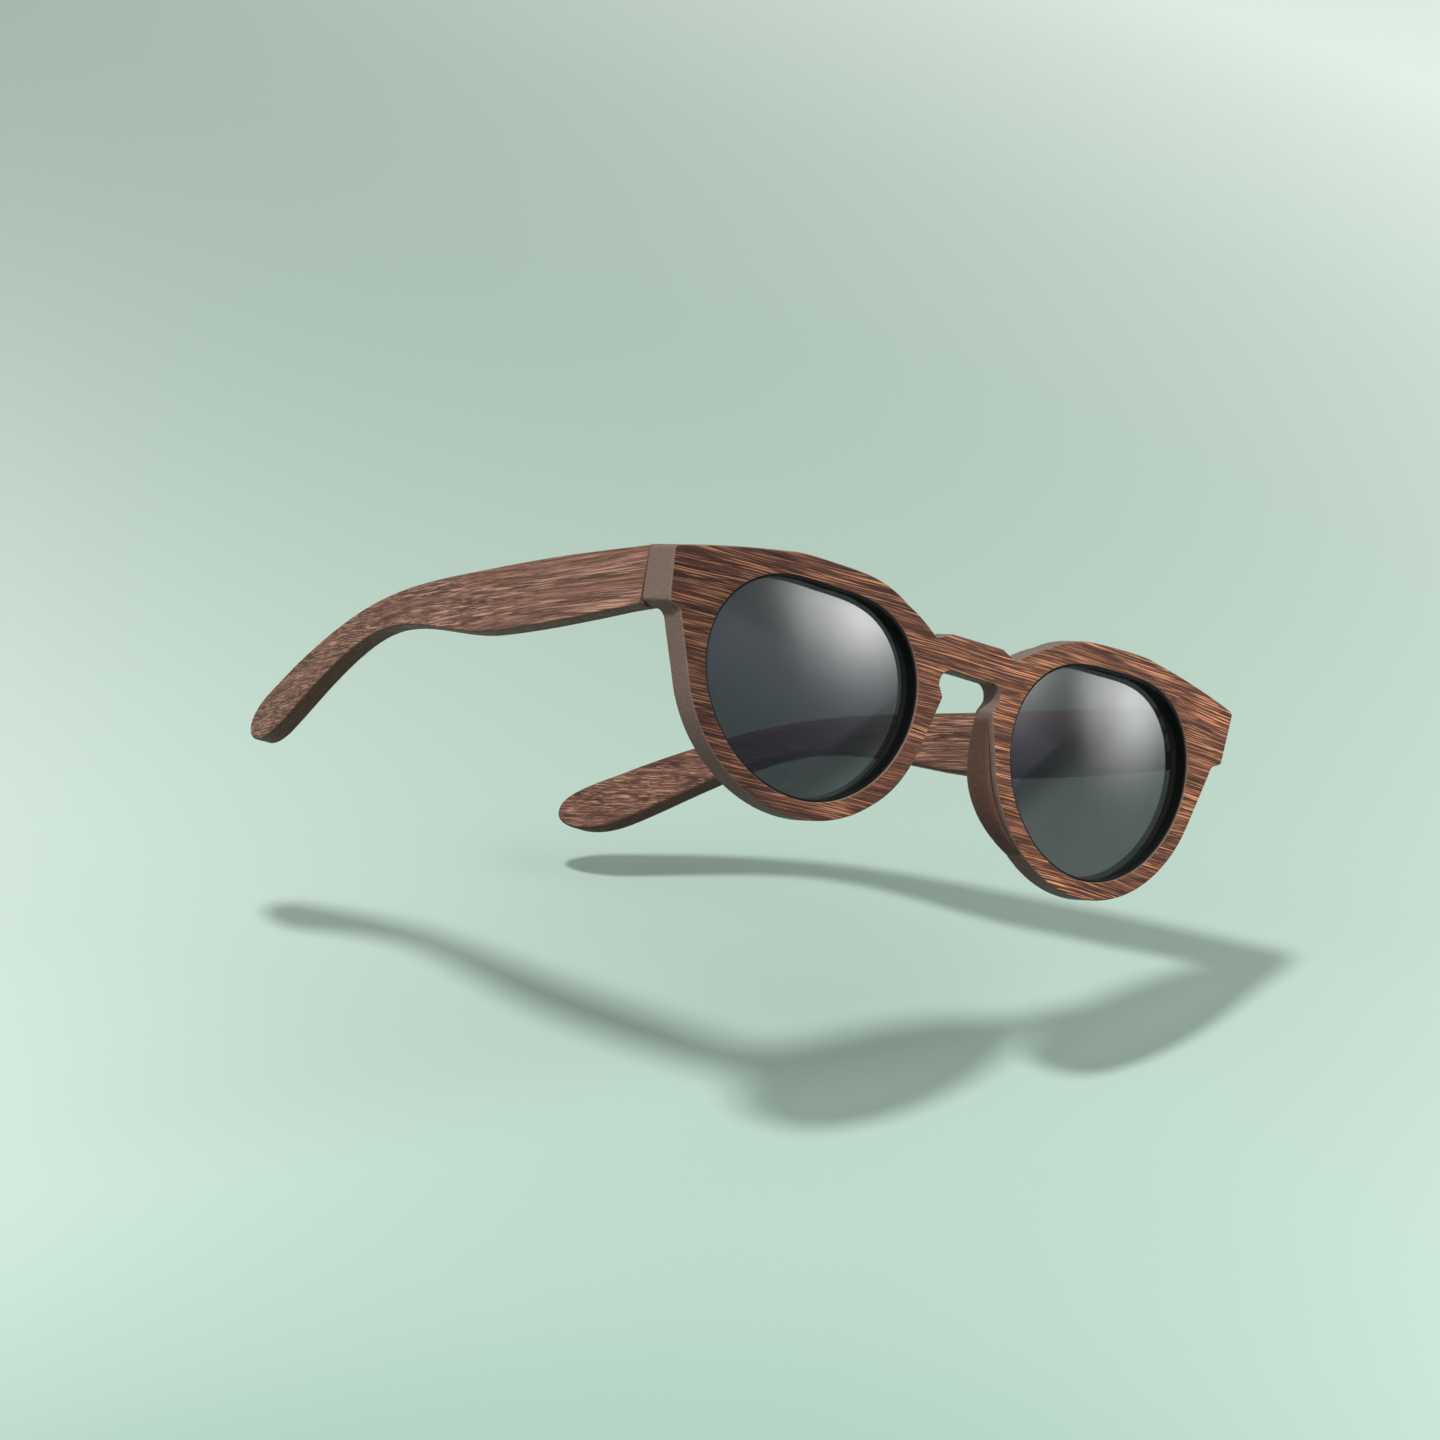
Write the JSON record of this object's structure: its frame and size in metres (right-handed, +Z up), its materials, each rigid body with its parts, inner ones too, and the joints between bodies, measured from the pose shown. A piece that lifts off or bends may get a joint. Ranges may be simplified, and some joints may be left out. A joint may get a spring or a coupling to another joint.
{
  "type": "wooden sunglasses",
  "caption": "Sunglasses with a bent wooden front, keyhole bridge, grey lenses in black edging and bowed wooden temples that fold on screwed barrel hinges.",
  "frame": {"origin": "centre of the bounding box on the ground plane, under the lowest points of the rims, temples open", "axes": "+X towards the wearer's left, +Y from the front face back to the ear tips, +Z up"},
  "size_m": [0.1364, 0.1458, 0.045],
  "materials": {
    "front_wood": "oiled, open straight grain across the front",
    "temple_wood": "oiled, open straight grain along the temple",
    "pad_wood": "oiled, smooth",
    "tinted_lens": "polished, grey tint",
    "black_edging": "matt black",
    "hinge_steel": "brushed",
    "screw_steel": "turned"
  },
  "bodies": {
    "front": {"front_frame": "front_wood", "nose_pad_left": "pad_wood", "nose_pad_right": "pad_wood", "lens_left": "tinted_lens", "lens_right": "tinted_lens", "lens_edging_left": "black_edging", "lens_edging_right": "black_edging", "front_hinge_leaf_left": "hinge_steel", "front_hinge_leaf_right": "hinge_steel", "hinge_screw_left": "screw_steel", "hinge_screw_right": "screw_steel", "front_leaf_screws_left": "screw_steel", "front_leaf_screws_right": "screw_steel"},
    "left_temple": {"temple_left": "temple_wood", "temple_hinge_leaf_left": "hinge_steel", "temple_leaf_screws_left": "screw_steel"},
    "right_temple": {"temple_right": "temple_wood", "temple_hinge_leaf_right": "hinge_steel", "temple_leaf_screws_right": "screw_steel"}
  },
  "joints": [
    {"name": "hinge_left", "type": "hinge", "parent": "front", "child": "left_temple", "pos_m": [0.0619, -0.06114, 0.03581], "axis": [0, 0, 1], "range_deg": [0, 80]},
    {"name": "hinge_right", "type": "hinge", "parent": "front", "child": "right_temple", "pos_m": [-0.0619, -0.06114, 0.03581], "axis": [0, 0, -1], "range_deg": [0, 70]}
  ]
}
